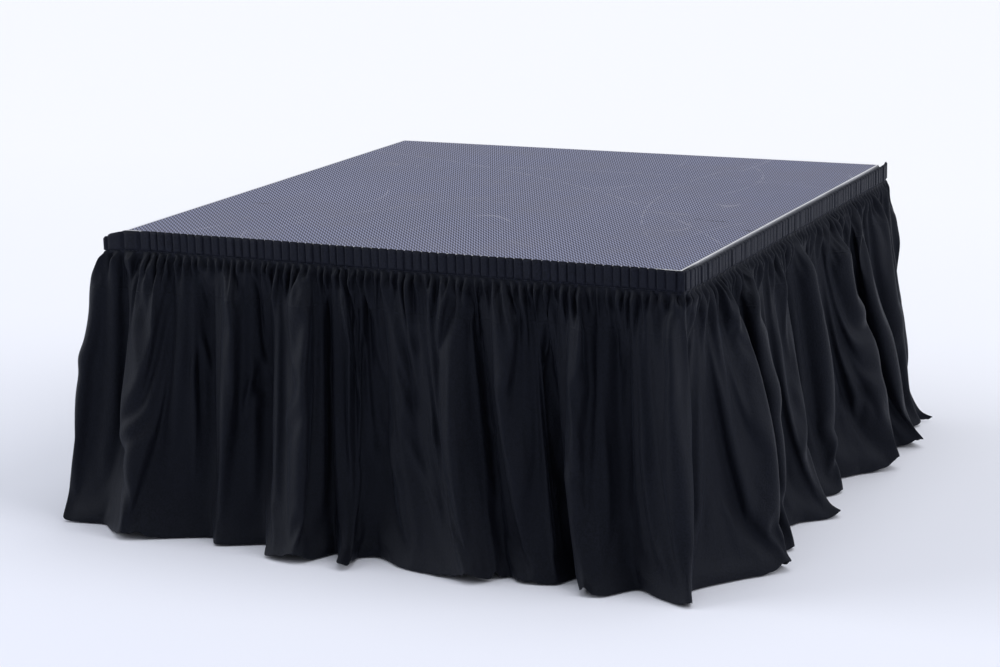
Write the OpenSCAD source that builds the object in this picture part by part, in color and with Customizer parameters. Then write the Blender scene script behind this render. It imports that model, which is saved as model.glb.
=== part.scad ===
// Skirted stage riser: a square aluminium-framed deck on four plug-in telescopic legs.
// Millimetres, +Z up, origin on the floor under the middle of the deck, front towards -Y.

/* [Deck] */
// Side of the square deck
deck_size = 1219; // [915:1:1525]
// Height of the deck's top above the floor, legs at their shortest
deck_height = 610; // [520:1:760]
// Thickness of the textured plywood panel
panel_t = 12; // [9:0.5:15]

/* [Frame] */
// Depth of the extruded edge rail
rail_h = 90; // [84:1:100]
// Width of the edge rail's box section
rail_w = 34; // [30:1:40]
// Wall thickness of the edge rail
rail_wall = 3; // [2.5:0.5:4]
// Width of the bright lip that shows round the panel
lip_w = 4; // [3:0.5:6]
// Height of the rectangular joists under the panel
joist_h = 50; // [40:1:60]
// Width of the joists
joist_w = 30; // [25:1:40]

/* [Legs] */
// Outer diameter of the plug-in leg tube
leg_d = 57; // [54:0.5:60]
// Outer diameter of the telescopic inner tube
inner_d = 50.8; // [48:0.1:51]
// How far each levelling foot screws out
foot_travel = 30; // [10:1:30]
// Diameter of the levelling spindle
spindle_d = 16; // [12:1:18]
// Diameter of the rubber foot pad
pad_d = 60; // [50:1:70]

/* [Skirt] */
// Height of the shirred header band
header_h = 44; // [35:1:52]
// How far the header's top sits below the deck's top
header_drop = 2; // [0:0.5:6]
// How far the hem stands out from the frame
skirt_flare = 120; // [40:1:140]
// Gap between the hem and the floor
hem_gap = 3; // [2:0.5:10]

/* [Hidden] */
$fn = 64;
half = deck_size / 2;
SIDES = ["front", "right", "back", "left"];
CORNERS = ["front_left", "front_right", "back_right", "back_left"];
eps = 0.5;

// Past a face that a cut goes through, and the fits' gaps
cut = 1;
slip_gap = 0.2;
thread_gap = 0.1;
press_gap = 0.05;

// Panel and rails
panel_gap = 0.5;
ledge_z = -panel_t;
web_z = -50;
reach = 2 * deck_size;

// Corner castings: a blind socket tube on an L-shaped flange
socket_at = rail_w + 44;
socket_wall = 6.3;
socket_top = -panel_t - 4;
socket_stop = socket_top - 4;
socket_end = -150;
socket_bore_r = leg_d / 2 + slip_gap;
socket_r = socket_bore_r + socket_wall;
flange_t = 6;
flange_len = 126;
flange_top = -panel_t - 6;
flange_h = rail_h - panel_t - 10;
flange_bolt_at = rail_w + 100;
flange_bolt_z = [-34, -72];
lead_in = 2;

// Socket-head bolts: radius, length, head radius and head height
m8 = [4, 18, 6.5, 5];
m6_panel = [3, 14, 5, 4];
m6_joist = [3, 11, 5, 4];
hole_clear = 0.15;
m8_hole_r = m8[0] + hole_clear;
m6_hole_r = m6_panel[0] + hole_clear;

// Clamp screws
boss_r = 12;
boss_len = 14;
stud_r = 5;
stud_bore_r = 5.1;
stud_gap = 0.3;
socket_knob_z = -118;
knob_r = 16;
knob_lobe_r = 7;
knob_lobes = 5;
knob_t = 18;
knob_hub_r = 11;
knob_hub_t = 6;
knob_gap = 0.4;
knob_thread = 4;

// Tube walls
tube_wall = 2.8;
inner_wall = 3;
stud_hole_r = stud_r + 0.4;

// Feet, from the floor up: the spindle's hexagon stops against the lock nut
pad_h = 14;
spindle_r = spindle_d / 2;
spindle_foot = 8;
spindle_spare = 11.6;
spindle_af = 22;
spindle_hex_z = pad_h + slip_gap;
spindle_hex_t = 8;
thread_from = spindle_hex_z + spindle_hex_t + 2;
thread_pitch = 2.5;
thread_depth = 1;
nut_af = 24;
nut_t = 8;
nut_z = spindle_hex_z + spindle_hex_t + slip_gap;
plug_z = nut_z + nut_t;
plug_flange_t = 8;
plug_spigot = 32;
spindle_top = plug_z + plug_flange_t + plug_spigot + foot_travel + spindle_spare;

// Leg tubes: the plug's flange stops against the outer tube's end
tube_end = plug_z + plug_flange_t + slip_gap;
tube_top = deck_height + socket_stop;
inner_r = inner_d / 2;
inner_top = tube_top - 10;
collar_z = tube_end + 2;
collar_h = 46;
collar_r = leg_d / 2 + 7.5;
collar_knob_z = collar_z + collar_h / 2;

// Joists and their angle brackets
joist_x = deck_size / 6;
joist_top = ledge_z;
joist_len = deck_size - 2 * rail_w - 1;
joist_wall = 3;
bracket_leg = 40;
bracket_t = 4;
bracket_h = 40;
bracket_bolt_at = 24;

// Skirt and its fastening tapes
tape_t = 1.5;
tape_h = 38;
tape_top = -header_drop - 3;
tape_short = 10;
header_t = 6;
drape_t = 3;

// ---------------------------------------------------------------- placing

// Turns what is modelled for the front side to side i.
module on_side(i) rotate([0, 0, 90 * i]) children();

// Places what is modelled at the origin on the leg axis of corner i, with +X and +Y inward.
module at_leg(i)
    rotate([0, 0, 90 * i])
        translate([-half + socket_at, -half + socket_at, 0])
            children();

// A profile (inward, up) extruded along the front side, mitred at both corners.
module mitred()
    intersection() {
        translate([0, -half, deck_height])
            rotate([90, 0, 90])
                linear_extrude(height = reach, center = true)
                    children();
        translate([0, 0, -eps])
            linear_extrude(height = deck_height + 2 * eps)
                polygon([[0, 0], [-reach, -reach], [reach, -reach]]);
    }

// A strip of the given height and thickness, standing off the front rail's outer face.
module strip(stand_off, t, top, h)
    mitred()
        translate([-stand_off - t, top - h])
            square([t, h]);

// A hexagon prism by its width across flats.
module hex(af, h) cylinder(h = h, r = af / 2 / cos(30), $fn = 6);

// ---------------------------------------------------------------- deck and frame

module deck_panel() {
    side = deck_size - 2 * lip_w - 2 * panel_gap;
    color([0.16, 0.16, 0.18])
        translate([-side / 2, -side / 2, deck_height - panel_t])
            cube([side, side, panel_t]);
}

module rail_profile()
    union() {
        difference() {
            translate([0, -rail_h])
                square([rail_w, rail_h + ledge_z]);
            translate([rail_wall, web_z])
                square([rail_w - 2 * rail_wall, ledge_z - rail_wall - web_z]);
            translate([rail_wall, -rail_h + rail_wall])
                square([rail_w - 2 * rail_wall, rail_h - 2 * rail_wall + web_z]);
        }
        translate([0, ledge_z - eps])
            square([lip_w, -ledge_z + eps]);
    }

module rail(i)
    color([0.78, 0.79, 0.81])
        on_side(i)
            difference() {
                mitred() rail_profile();
                for (s = [-1, 1], z = flange_bolt_z)
                    translate([s * (half - flange_bolt_at), -half + rail_w, deck_height + z])
                        rotate([90, 0, 0])
                            cylinder(h = 2 * rail_wall + 2 * cut, r = m8_hole_r, center = true);
                if (i % 2 == 0)
                    for (s = [-1, 1], side = [-1, 1])
                        translate([
                            s * joist_x + side * (joist_w / 2 + bracket_bolt_at),
                            -half + rail_w,
                            deck_height + joist_top - joist_h / 2,
                        ])
                            rotate([90, 0, 0])
                                cylinder(
                                    h = 2 * rail_wall + 2 * cut, r = m6_hole_r, center = true
                                );
            }

// The casting's L-shaped flange and the block that ties the socket tube into its corner.
module corner_socket_flange()
    translate([rail_w, rail_w, flange_top - flange_h]) {
        cube([flange_len, flange_t, flange_h]);
        cube([flange_t, flange_len, flange_h]);
        cube([socket_at - rail_w, socket_at - rail_w, flange_h]);
    }

module corner_socket(i)
    color([0.66, 0.67, 0.69])
        rotate([0, 0, 90 * i])
            translate([-half, -half, deck_height])
                difference() {
                    union() {
                        corner_socket_flange();
                        translate([socket_at, socket_at, socket_end])
                            cylinder(h = socket_top - socket_end, r = socket_r);
                        translate([socket_at, socket_at, socket_knob_z])
                            rotate([0, 90, 45])
                                cylinder(h = socket_r + boss_len, r = boss_r);
                    }
                    translate([socket_at, socket_at, socket_end - cut])
                        cylinder(h = socket_stop - socket_end + cut, r = socket_bore_r);
                    translate([socket_at, socket_at, socket_end - eps])
                        cylinder(
                            h = lead_in + eps,
                            r1 = socket_bore_r + lead_in + eps,
                            r2 = socket_bore_r
                        );
                    translate([socket_at, socket_at, socket_knob_z])
                        rotate([0, 90, 45])
                            cylinder(h = socket_r + boss_len + cut, r = stud_bore_r);
                    for (z = flange_bolt_z) {
                        translate([flange_bolt_at, rail_w + flange_t / 2, z])
                            rotate([90, 0, 0])
                                cylinder(h = flange_t + 2 * cut, r = m8_hole_r, center = true);
                        translate([rail_w + flange_t / 2, flange_bolt_at, z])
                            rotate([0, 90, 0])
                                cylinder(h = flange_t + 2 * cut, r = m8_hole_r, center = true);
                    }
                }

module joist(side)
    color([0.78, 0.79, 0.81])
        translate([side * joist_x, 0, deck_height + joist_top - joist_h / 2])
            difference() {
                cube([joist_w, joist_len, joist_h], center = true);
                cube(
                    [joist_w - 2 * joist_wall, joist_len + 2 * cut, joist_h - 2 * joist_wall],
                    center = true
                );
                for (s = [-1, 1])
                    translate([0, s * (half - rail_w - bracket_bolt_at), 0])
                        rotate([0, 90, 0])
                            cylinder(h = joist_w + 2 * cut, r = m6_hole_r, center = true);
            }

// One angle bracket in the corner between a rail's inner face and a joist's side.
module bracket()
    difference() {
        union() {
            translate([0, 0, -bracket_h / 2]) cube([bracket_leg, bracket_t, bracket_h]);
            translate([0, 0, -bracket_h / 2]) cube([bracket_t, bracket_leg, bracket_h]);
        }
        translate([bracket_bolt_at, bracket_t / 2, 0])
            rotate([90, 0, 0])
                cylinder(h = bracket_t + 2 * cut, r = m6_hole_r, center = true);
        translate([bracket_t / 2, bracket_bolt_at, 0])
            rotate([0, 90, 0])
                cylinder(h = bracket_t + 2 * cut, r = m6_hole_r, center = true);
    }

// The four ends of the two joists, both sides of each: the frame of one bracket.
module at_brackets()
    for (end = [0, 1], x = [-1, 1], side = [0, 1])
        rotate([0, 0, 180 * end])
            translate([x * joist_x, -half + rail_w, deck_height + joist_top - joist_h / 2])
                mirror([side, 0, 0])
                    translate([joist_w / 2, 0, 0])
                        children();

module joist_brackets() color([0.62, 0.63, 0.65]) at_brackets() bracket();

// A socket-head bolt along +Z, its head's underside at the origin.
module bolt(size) {
    r = size[0];
    len = size[1];
    head_r = size[2];
    head_t = size[3];
    difference() {
        union() {
            translate([0, 0, -len]) cylinder(h = len + eps, r = r, $fn = 32);
            cylinder(h = head_t, r = head_r, $fn = 32);
        }
        translate([0, 0, head_t * 0.4]) hex(head_r, head_t);
    }
}

module socket_bolts()
    color([0.55, 0.56, 0.58])
        for (i = [0:3], z = flange_bolt_z)
            rotate([0, 0, 90 * i])
                translate([-half, -half, deck_height + z]) {
                    translate([flange_bolt_at, rail_w + flange_t, 0])
                        rotate([-90, 0, 0]) bolt(m8);
                    translate([rail_w + flange_t, flange_bolt_at, 0])
                        rotate([0, 90, 0]) bolt(m8);
                }

module bracket_bolts()
    color([0.55, 0.56, 0.58])
        at_brackets() {
            translate([bracket_bolt_at, bracket_t, 0])
                rotate([-90, 0, 0]) bolt(m6_panel);
            translate([bracket_t, bracket_bolt_at, 0])
                rotate([0, 90, 0]) bolt(m6_joist);
        }

// ---------------------------------------------------------------- skirt

module hook_tape()
    color([0.05, 0.05, 0.06])
        for (i = [0:3]) on_side(i) short_strip(0, tape_t);

module loop_tape()
    color([0.07, 0.07, 0.08])
        for (i = [0:3]) on_side(i) short_strip(tape_t, tape_t);

// A strip that stops short of the corners, so that each side's tape is a piece of its own.
module short_strip(stand_off, t)
    translate([
        -half + tape_short,
        -half - stand_off - t,
        deck_height + tape_top - tape_h,
    ])
        cube([deck_size - 2 * tape_short, t, tape_h]);

module skirt_header(i)
    color([0.09, 0.09, 0.11])
        on_side(i)
            strip(2 * tape_t, header_t, -header_drop, header_h);

module skirt(i)
    color([0.07, 0.07, 0.09])
        on_side(i)
            mitred() {
                top = -header_drop - header_h;
                foot = -deck_height + hem_gap;
                near = 2 * tape_t + header_t - drape_t;
                polygon([
                    [-near - drape_t, top],
                    [-near, top],
                    [-skirt_flare + drape_t, foot],
                    [-skirt_flare, foot],
                ]);
            }

// ---------------------------------------------------------------- legs

module leg_tube(i)
    color([0.74, 0.75, 0.77])
        at_leg(i)
            difference() {
                translate([0, 0, tube_end])
                    cylinder(h = tube_top - tube_end, r = leg_d / 2);
                translate([0, 0, tube_end - cut])
                    cylinder(h = tube_top - tube_end + 2 * cut, r = leg_d / 2 - tube_wall);
                translate([0, 0, collar_knob_z])
                    rotate([0, 90, 45])
                        cylinder(h = leg_d, r = stud_hole_r);
            }

module leg_collar(i)
    color([0.66, 0.67, 0.69])
        at_leg(i)
            difference() {
                union() {
                    translate([0, 0, collar_z]) cylinder(h = collar_h, r = collar_r);
                    translate([0, 0, collar_knob_z])
                        rotate([0, 90, 45])
                            cylinder(h = collar_r + boss_len, r = boss_r);
                }
                translate([0, 0, collar_z - cut])
                    cylinder(h = collar_h + 2 * cut, r = leg_d / 2 + press_gap);
                translate([0, 0, collar_knob_z])
                    rotate([0, 90, 45])
                        cylinder(h = collar_r + boss_len + cut, r = stud_bore_r);
            }

module leg_inner(i)
    color([0.80, 0.81, 0.83])
        at_leg(i)
            difference() {
                translate([0, 0, plug_z + plug_flange_t])
                    cylinder(h = inner_top - plug_z - plug_flange_t, r = inner_r);
                translate([0, 0, plug_z])
                    cylinder(h = inner_top, r = inner_r - inner_wall);
            }

module leg_plug(i)
    color([0.10, 0.10, 0.11])
        at_leg(i)
            difference() {
                union() {
                    translate([0, 0, plug_z]) cylinder(h = plug_flange_t, r = leg_d / 2);
                    translate([0, 0, plug_z])
                        cylinder(
                            h = plug_flange_t + plug_spigot, r = inner_r - inner_wall - press_gap
                        );
                }
                translate([0, 0, plug_z - cut])
                    cylinder(h = plug_flange_t + plug_spigot + 2 * cut, r = spindle_r + thread_gap);
            }

module lock_nut(i)
    color([0.58, 0.59, 0.61])
        at_leg(i)
            translate([0, 0, nut_z])
                difference() {
                    hex(nut_af, nut_t);
                    translate([0, 0, -cut]) cylinder(h = nut_t + 2 * cut, r = spindle_r + thread_gap);
                }

// Half section of the threaded spindle, its thread drawn as rings.
function thread_points() = [
    for (k = [0 : floor((spindle_top - thread_from) / thread_pitch) - 1])
        let (z = thread_from + k * thread_pitch)
            each [[spindle_r, z], [spindle_r - thread_depth, z + thread_pitch / 2]]
];

module foot_spindle(i)
    color([0.60, 0.61, 0.63])
        at_leg(i)
            union() {
                rotate_extrude()
                    polygon(concat(
                        [[0, spindle_foot], [spindle_r - 1, spindle_foot]],
                        [[spindle_r, spindle_foot + 1]],
                        thread_points(),
                        [[spindle_r - 1.5, spindle_top], [0, spindle_top]]
                    ));
                translate([0, 0, spindle_hex_z]) hex(spindle_af, spindle_hex_t);
            }

module foot_pad(i)
    color([0.06, 0.06, 0.07])
        at_leg(i)
            rotate_extrude()
                polygon([
                    [0, 0], [pad_d / 2 - 2, 0], [pad_d / 2, 2], [pad_d / 2, 7],
                    [spindle_r + 7, pad_h], [spindle_r + slip_gap, pad_h],
                    [spindle_r + slip_gap, spindle_foot], [0, spindle_foot],
                ]);

// A star knob on a stud, along +X from the leg axis: tip_r is where the stud's point is.
module knob(tip_r, seat_r)
    rotate([0, 90, 45]) {
        translate([0, 0, tip_r]) cylinder(h = seat_r - tip_r + knob_thread, r = stud_r, $fn = 32);
        translate([0, 0, seat_r + knob_gap]) cylinder(h = knob_hub_t, r = knob_hub_r);
        translate([0, 0, seat_r + knob_hub_t])
            linear_extrude(height = knob_t)
                union() {
                    circle(r = knob_r);
                    for (k = [0 : knob_lobes - 1])
                        rotate(k * 360 / knob_lobes)
                            translate([knob_r - 0.5, 0]) circle(r = knob_lobe_r);
                }
    }

module socket_knob(i)
    color([0.08, 0.08, 0.09])
        at_leg(i)
            translate([0, 0, deck_height + socket_knob_z])
                knob(leg_d / 2 + stud_gap, socket_r + boss_len);

module collar_knob(i)
    color([0.08, 0.08, 0.09])
        at_leg(i)
            translate([0, 0, collar_knob_z])
                knob(inner_r + stud_gap, collar_r + boss_len);

// ---------------------------------------------------------------- the nodes

deck_panel();
joist(-1);  // joist_left
joist(1);  // joist_right
joist_brackets();
socket_bolts();
bracket_bolts();
hook_tape();
loop_tape();
for (i = [0:3]) {
    rail(i);
    skirt_header(i);
    skirt(i);
    corner_socket(i);
    leg_tube(i);
    leg_collar(i);
    leg_inner(i);
    leg_plug(i);
    lock_nut(i);
    foot_spindle(i);
    foot_pad(i);
    socket_knob(i);
    collar_knob(i);
}
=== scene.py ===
"""Looks of the skirted stage riser: metres, +Z up, front towards -Y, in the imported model's own frame."""
import math
import random

import bpy
import numpy as np
from mathutils import Matrix, Vector


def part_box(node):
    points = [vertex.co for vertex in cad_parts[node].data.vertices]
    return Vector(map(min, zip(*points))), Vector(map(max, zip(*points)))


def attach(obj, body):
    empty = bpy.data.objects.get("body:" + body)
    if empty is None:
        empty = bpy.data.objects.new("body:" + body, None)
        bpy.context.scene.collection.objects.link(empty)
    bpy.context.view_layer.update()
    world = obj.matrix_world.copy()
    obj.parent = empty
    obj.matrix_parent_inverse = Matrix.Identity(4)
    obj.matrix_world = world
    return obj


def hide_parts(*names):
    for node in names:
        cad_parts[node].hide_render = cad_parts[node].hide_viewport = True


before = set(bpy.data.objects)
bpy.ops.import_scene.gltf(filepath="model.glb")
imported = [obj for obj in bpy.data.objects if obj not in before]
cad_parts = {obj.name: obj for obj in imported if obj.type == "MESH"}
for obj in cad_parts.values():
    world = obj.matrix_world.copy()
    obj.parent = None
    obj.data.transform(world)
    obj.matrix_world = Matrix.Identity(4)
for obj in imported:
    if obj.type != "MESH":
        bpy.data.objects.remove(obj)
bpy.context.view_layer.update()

SIDES = ("front", "right", "back", "left")
MM = 0.001

# The deck, its rails and the header band, as the CAD holds them
RAIL_LOW, RAIL_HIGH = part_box("rail_front")
HEADER_LOW, HEADER_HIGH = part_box("skirt_header_front")
HALF = -RAIL_LOW.y
SIDE = 2 * HALF
DECK_TOP = RAIL_HIGH.z
RAIL_FOOT = RAIL_LOW.z
HEADER_BACK = -HEADER_HIGH.y - HALF
HEADER_FOOT = HEADER_LOW.z
HEADER_TOP = HEADER_HIGH.z

# ---------------------------------------------------------------- camera, light and floor

CAMERA_AT = (2.209, -4.658, 1.542)
CAMERA_YAW = math.radians(25.98)
CAMERA_PITCH = math.radians(13.49)
CAMERA_ROLL = math.radians(-1.44)
CAMERA_LENS = 87.2


def make_camera():
    data = bpy.data.cameras.new("camera")
    data.lens = CAMERA_LENS
    data.sensor_width = 36
    camera = bpy.data.objects.new("camera", data)
    bpy.context.scene.collection.objects.link(camera)
    level = math.cos(CAMERA_PITCH)
    forward = Vector((
        -math.sin(CAMERA_YAW) * level,
        math.cos(CAMERA_YAW) * level,
        -math.sin(CAMERA_PITCH),
    ))
    turn = forward.to_track_quat("-Z", "Y").to_matrix() @ Matrix.Rotation(CAMERA_ROLL, 3, "Z")
    camera.matrix_world = Matrix.Translation(CAMERA_AT) @ turn.to_4x4()
    bpy.context.scene.camera = camera


def soft_light(name, from_side, spread, power, colour):
    """A wide soft light from far away, on the side that the vector points to."""
    data = bpy.data.lights.new(name, "SUN")
    data.angle = math.radians(spread)
    data.energy = power
    data.color = colour
    light = bpy.data.objects.new(name, data)
    light.rotation_euler = Vector(from_side).to_track_quat("Z", "Y").to_euler()
    bpy.context.scene.collection.objects.link(light)


def light_studio():
    world = bpy.data.worlds.new("studio")
    world.use_nodes = True
    sky = world.node_tree.nodes["Background"]
    sky.inputs["Color"].default_value = (0.90, 0.93, 1.0, 1)
    sky.inputs["Strength"].default_value = 0.37
    bpy.context.scene.world = world
    bpy.context.scene.view_settings.view_transform = "Standard"
    soft_light("key", (0.88, 0.12, 0.60), 44, 1.32, (1.0, 0.985, 0.98))
    soft_light("fill", (-0.95, -0.28, 0.50), 40, 1.05, (0.97, 0.98, 1.0))
    soft_light("overhead", (0.05, 0.15, 1.0), 60, 1.05, (1.0, 1.0, 1.0))


def make_floor():
    reach = 40
    mesh = bpy.data.meshes.new("studio_floor")
    corners = [(-reach, -reach, 0), (reach, -reach, 0), (reach, reach, 0), (-reach, reach, 0)]
    mesh.from_pydata(corners, [], [(0, 1, 2, 3)])
    floor = bpy.data.objects.new("studio_floor", mesh)
    bpy.context.scene.collection.objects.link(floor)
    look = Look("studio_paper", roughness=0.9, specular=0.2)
    _, y, _ = look.axes()
    # Painted shade: the paper is darker and bluer towards the front (low y), standing in for the stage's soft
    # shadow, and paler far back
    far = look.ramp(look.math("ADD", y, look.noise(0.5, detail=2)), -2.0, 4.0)
    look.colour(look.mix(far, (0.815, 0.845, 0.965), (0.910, 0.922, 0.958)))
    mesh.materials.append(look.made)


# ---------------------------------------------------------------- how materials are put together


class Look:
    """A procedural material: its shader, and helpers that work on the shaded point's place in metres."""

    def __init__(self, name, roughness, metallic=0.0, specular=0.5):
        self.made = bpy.data.materials.new(name)
        self.made.use_nodes = True
        self.nodes = self.made.node_tree.nodes
        self.shader = self.nodes["Principled BSDF"]
        self.place = self.nodes.new("ShaderNodeTexCoord").outputs["Object"]
        self.shader.inputs["Roughness"].default_value = roughness
        self.shader.inputs["Metallic"].default_value = metallic
        self.shader.inputs["Specular IOR Level"].default_value = specular

    def feed(self, socket, value):
        if isinstance(value, bpy.types.NodeSocket):
            self.made.node_tree.links.new(value, socket)
        else:
            socket.default_value = value

    def math(self, operation, a, b=0.0):
        node = self.nodes.new("ShaderNodeMath")
        node.operation = operation
        self.feed(node.inputs[0], a)
        self.feed(node.inputs[1], b)
        return node.outputs[0]

    def axes(self):
        """The shaded point's x, y and z."""
        node = self.nodes.new("ShaderNodeSeparateXYZ")
        self.feed(node.inputs[0], self.place)
        return node.outputs

    def facing(self, axis):
        """How far the surface faces along an axis, from -1 to 1."""
        split = self.nodes.new("ShaderNodeSeparateXYZ")
        self.feed(split.inputs[0], self.nodes.new("ShaderNodeTexCoord").outputs["Normal"])
        return split.outputs[axis]

    def wave(self, along, pitch):
        """A cosine that repeats every pitch metres along a value."""
        return self.math("COSINE", self.math("MULTIPLY", along, 2 * math.pi / pitch))

    def noise(self, scale, detail=3.0, stretch=(1, 1, 1), rough=0.5):
        mapped = self.nodes.new("ShaderNodeMapping")
        self.feed(mapped.inputs["Vector"], self.place)
        mapped.inputs["Scale"].default_value = stretch
        node = self.nodes.new("ShaderNodeTexNoise")
        self.feed(node.inputs["Vector"], mapped.outputs[0])
        node.inputs["Scale"].default_value = scale
        node.inputs["Detail"].default_value = detail
        node.inputs["Roughness"].default_value = rough
        return node.outputs["Fac"]

    def cells(self, scale):
        """Distance to the nearest cell centre, for grains."""
        node = self.nodes.new("ShaderNodeTexVoronoi")
        self.feed(node.inputs["Vector"], self.place)
        node.inputs["Scale"].default_value = scale
        return node.outputs["Distance"]

    def ramp(self, value, start, end, low=0.0, high=1.0):
        """Low before start, high after end, and straight between."""
        node = self.nodes.new("ShaderNodeMapRange")
        for socket, given in zip(node.inputs, (value, start, end, low, high)):
            self.feed(socket, given)
        return node.outputs[0]

    def mix(self, factor, first, second):
        node = self.nodes.new("ShaderNodeMix")
        node.data_type = "RGBA"
        self.feed(node.inputs["Factor"], factor)
        colours = [socket for socket in node.inputs if socket.type == "RGBA"]
        for socket, given in zip(colours, (first, second)):
            self.feed(socket, (*given, 1) if isinstance(given, tuple) else given)
        return next(socket for socket in node.outputs if socket.type == "RGBA")

    def colour(self, value):
        self.feed(self.shader.inputs["Base Color"], value)

    def roughness(self, value):
        self.feed(self.shader.inputs["Roughness"], value)

    def bump(self, *layers):
        """Bump layers as (height from 0 to 1, depth in metres), one over the other."""
        normal = None
        for height, depth in layers:
            node = self.nodes.new("ShaderNodeBump")
            node.inputs["Distance"].default_value = depth
            self.feed(node.inputs["Height"], height)
            if normal:
                self.feed(node.inputs["Normal"], normal)
            normal = node.outputs[0]
        self.feed(self.shader.inputs["Normal"], normal)

    def sheen(self, weight, rough, tint):
        self.shader.inputs["Sheen Weight"].default_value = weight
        self.shader.inputs["Sheen Roughness"].default_value = rough
        self.shader.inputs["Sheen Tint"].default_value = (*tint, 1)


# ---------------------------------------------------------------- the materials

MESH_PITCH_X = 11.1 * MM
MESH_PITCH_Y = 11.4 * MM
DOT_DEPTH = 0.5 * MM

# Long faint arcs on the deck: centre, radius, width of the line, and the way that the drawn part lies
ARCS = (
    ((0.10, 0.28), 0.33, 3.5 * MM, (1.0, 0.1)),
    ((0.9, -0.9), 1.30, 2.5 * MM, (-0.75, 0.66)),
    ((-1.1, -1.6), 2.10, 2.5 * MM, (0.62, 0.78)),
    ((1.3, 0.2), 1.02, 2.5 * MM, (-0.99, 0.1)),
    ((0.1, -1.9), 2.24, 2.5 * MM, (0.12, 0.99)),
)
# Winding scratches: scale of the noise that they follow, its stretch, and how little of them shows
WINDING = ((3.1, (1.0, 0.5, 1), 0.60), (5.3, (0.5, 1.0, 1), 0.64))
WINDING_WIDTH = 0.0035


def scratch(look, centre, radius, width, tangent):
    """A faint arc on the deck: 1 on a thin circle, fading away from one side of it."""
    x, y, _ = look.axes()
    dx = look.math("SUBTRACT", x, centre[0])
    dy = look.math("SUBTRACT", y, centre[1])
    away = look.math("SQRT", look.math("ADD", look.math("MULTIPLY", dx, dx), look.math("MULTIPLY", dy, dy)))
    off = look.math("ABSOLUTE", look.math("SUBTRACT", away, radius))
    side = look.math("ADD", look.math("MULTIPLY", dx, tangent[0]), look.math("MULTIPLY", dy, tangent[1]))
    line = look.ramp(off, 0.0, width, 1.0, 0.0)
    part = look.ramp(side, radius * 0.72, radius * 0.9)
    broken = look.ramp(look.noise(60, detail=4), 0.42, 0.56)
    return look.math("MULTIPLY", look.math("MULTIPLY", line, part), broken)


def winding_scratch(look, scale, stretch, limit):
    """Thin lines where a noise crosses its middle, kept only in some places."""
    level = look.math("SUBTRACT", look.noise(scale, detail=0, stretch=stretch), 0.5)
    thin = look.ramp(look.math("ABSOLUTE", level), 0.0, WINDING_WIDTH, 1.0, 0.0)
    kept = look.ramp(look.noise(scale * 1.7, detail=5, rough=0.6), limit - 0.08, limit)
    return look.math("MULTIPLY", thin, kept)


def wear_marks(look):
    """Specks, arcs and scratches on the deck: 1 on a mark, 0 between."""
    marks = look.ramp(look.noise(85, detail=2), 0.72, 0.78)
    for arc in ARCS:
        marks = look.math("MAXIMUM", marks, scratch(look, *arc))
    for winding in WINDING:
        marks = look.math("MAXIMUM", marks, winding_scratch(look, *winding))
    return marks


def mesh_print(look):
    """The wire mesh's print: two slanting waves over its pitch, 0 in the hollows and 1 on the dots."""
    x, y, _ = look.axes()
    across = look.math("DIVIDE", x, MESH_PITCH_X)
    up = look.math("DIVIDE", y, MESH_PITCH_Y)
    slant = look.wave(look.math("ADD", across, up), 1)
    steep = look.wave(look.math("ADD", look.math("MULTIPLY", across, 2), up), 1)
    return look.ramp(look.math("ADD", slant, look.math("MULTIPLY", steep, 0.9)), -0.8, 0.9)


def anti_slip_panel():
    """Phenolic film pressed with a wire mesh: small raised dots in rows, painted pale as a highlight, scuffed
    and scratched by use.
    """
    look = Look("phenolic_mesh_panel", roughness=0.5, specular=0.15)
    dots = mesh_print(look)
    top = look.ramp(look.facing(2), 0.5, 0.9)
    wear = look.noise(2.2, detail=5, rough=0.6)
    patch = look.noise(9.0, detail=4)
    dark = look.mix(wear, (0.026, 0.026, 0.042), (0.044, 0.044, 0.064))
    # Painted highlight: the raised dots are painted pale blue-grey for the backdrop's reflection on them; the
    # film's own colour is the dark one
    painted_dot_highlight = look.mix(wear, (0.250, 0.270, 0.410), (0.335, 0.352, 0.500))
    film = look.mix(dots, dark, painted_dot_highlight)
    dusty = look.mix(look.ramp(patch, 0.45, 0.8, 0.0, 0.35), film, (0.16, 0.155, 0.185))
    worn = look.mix(look.math("MULTIPLY", wear_marks(look), 0.32), dusty, (0.50, 0.50, 0.56))
    scuff = look.ramp(look.noise(16, detail=3, stretch=(0.35, 1.6, 1)), 0.72, 0.77, 0.0, 0.85)
    scuffed = look.mix(scuff, worn, (0.03, 0.03, 0.035))
    brown = look.mix(patch, (0.030, 0.017, 0.012), (0.045, 0.026, 0.018))
    look.colour(look.mix(top, brown, scuffed))
    look.roughness(look.ramp(wear, 0.3, 0.7, 0.40, 0.56))
    look.bump((dots, DOT_DEPTH), (look.noise(700), 0.08 * MM))
    return look.made


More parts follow.
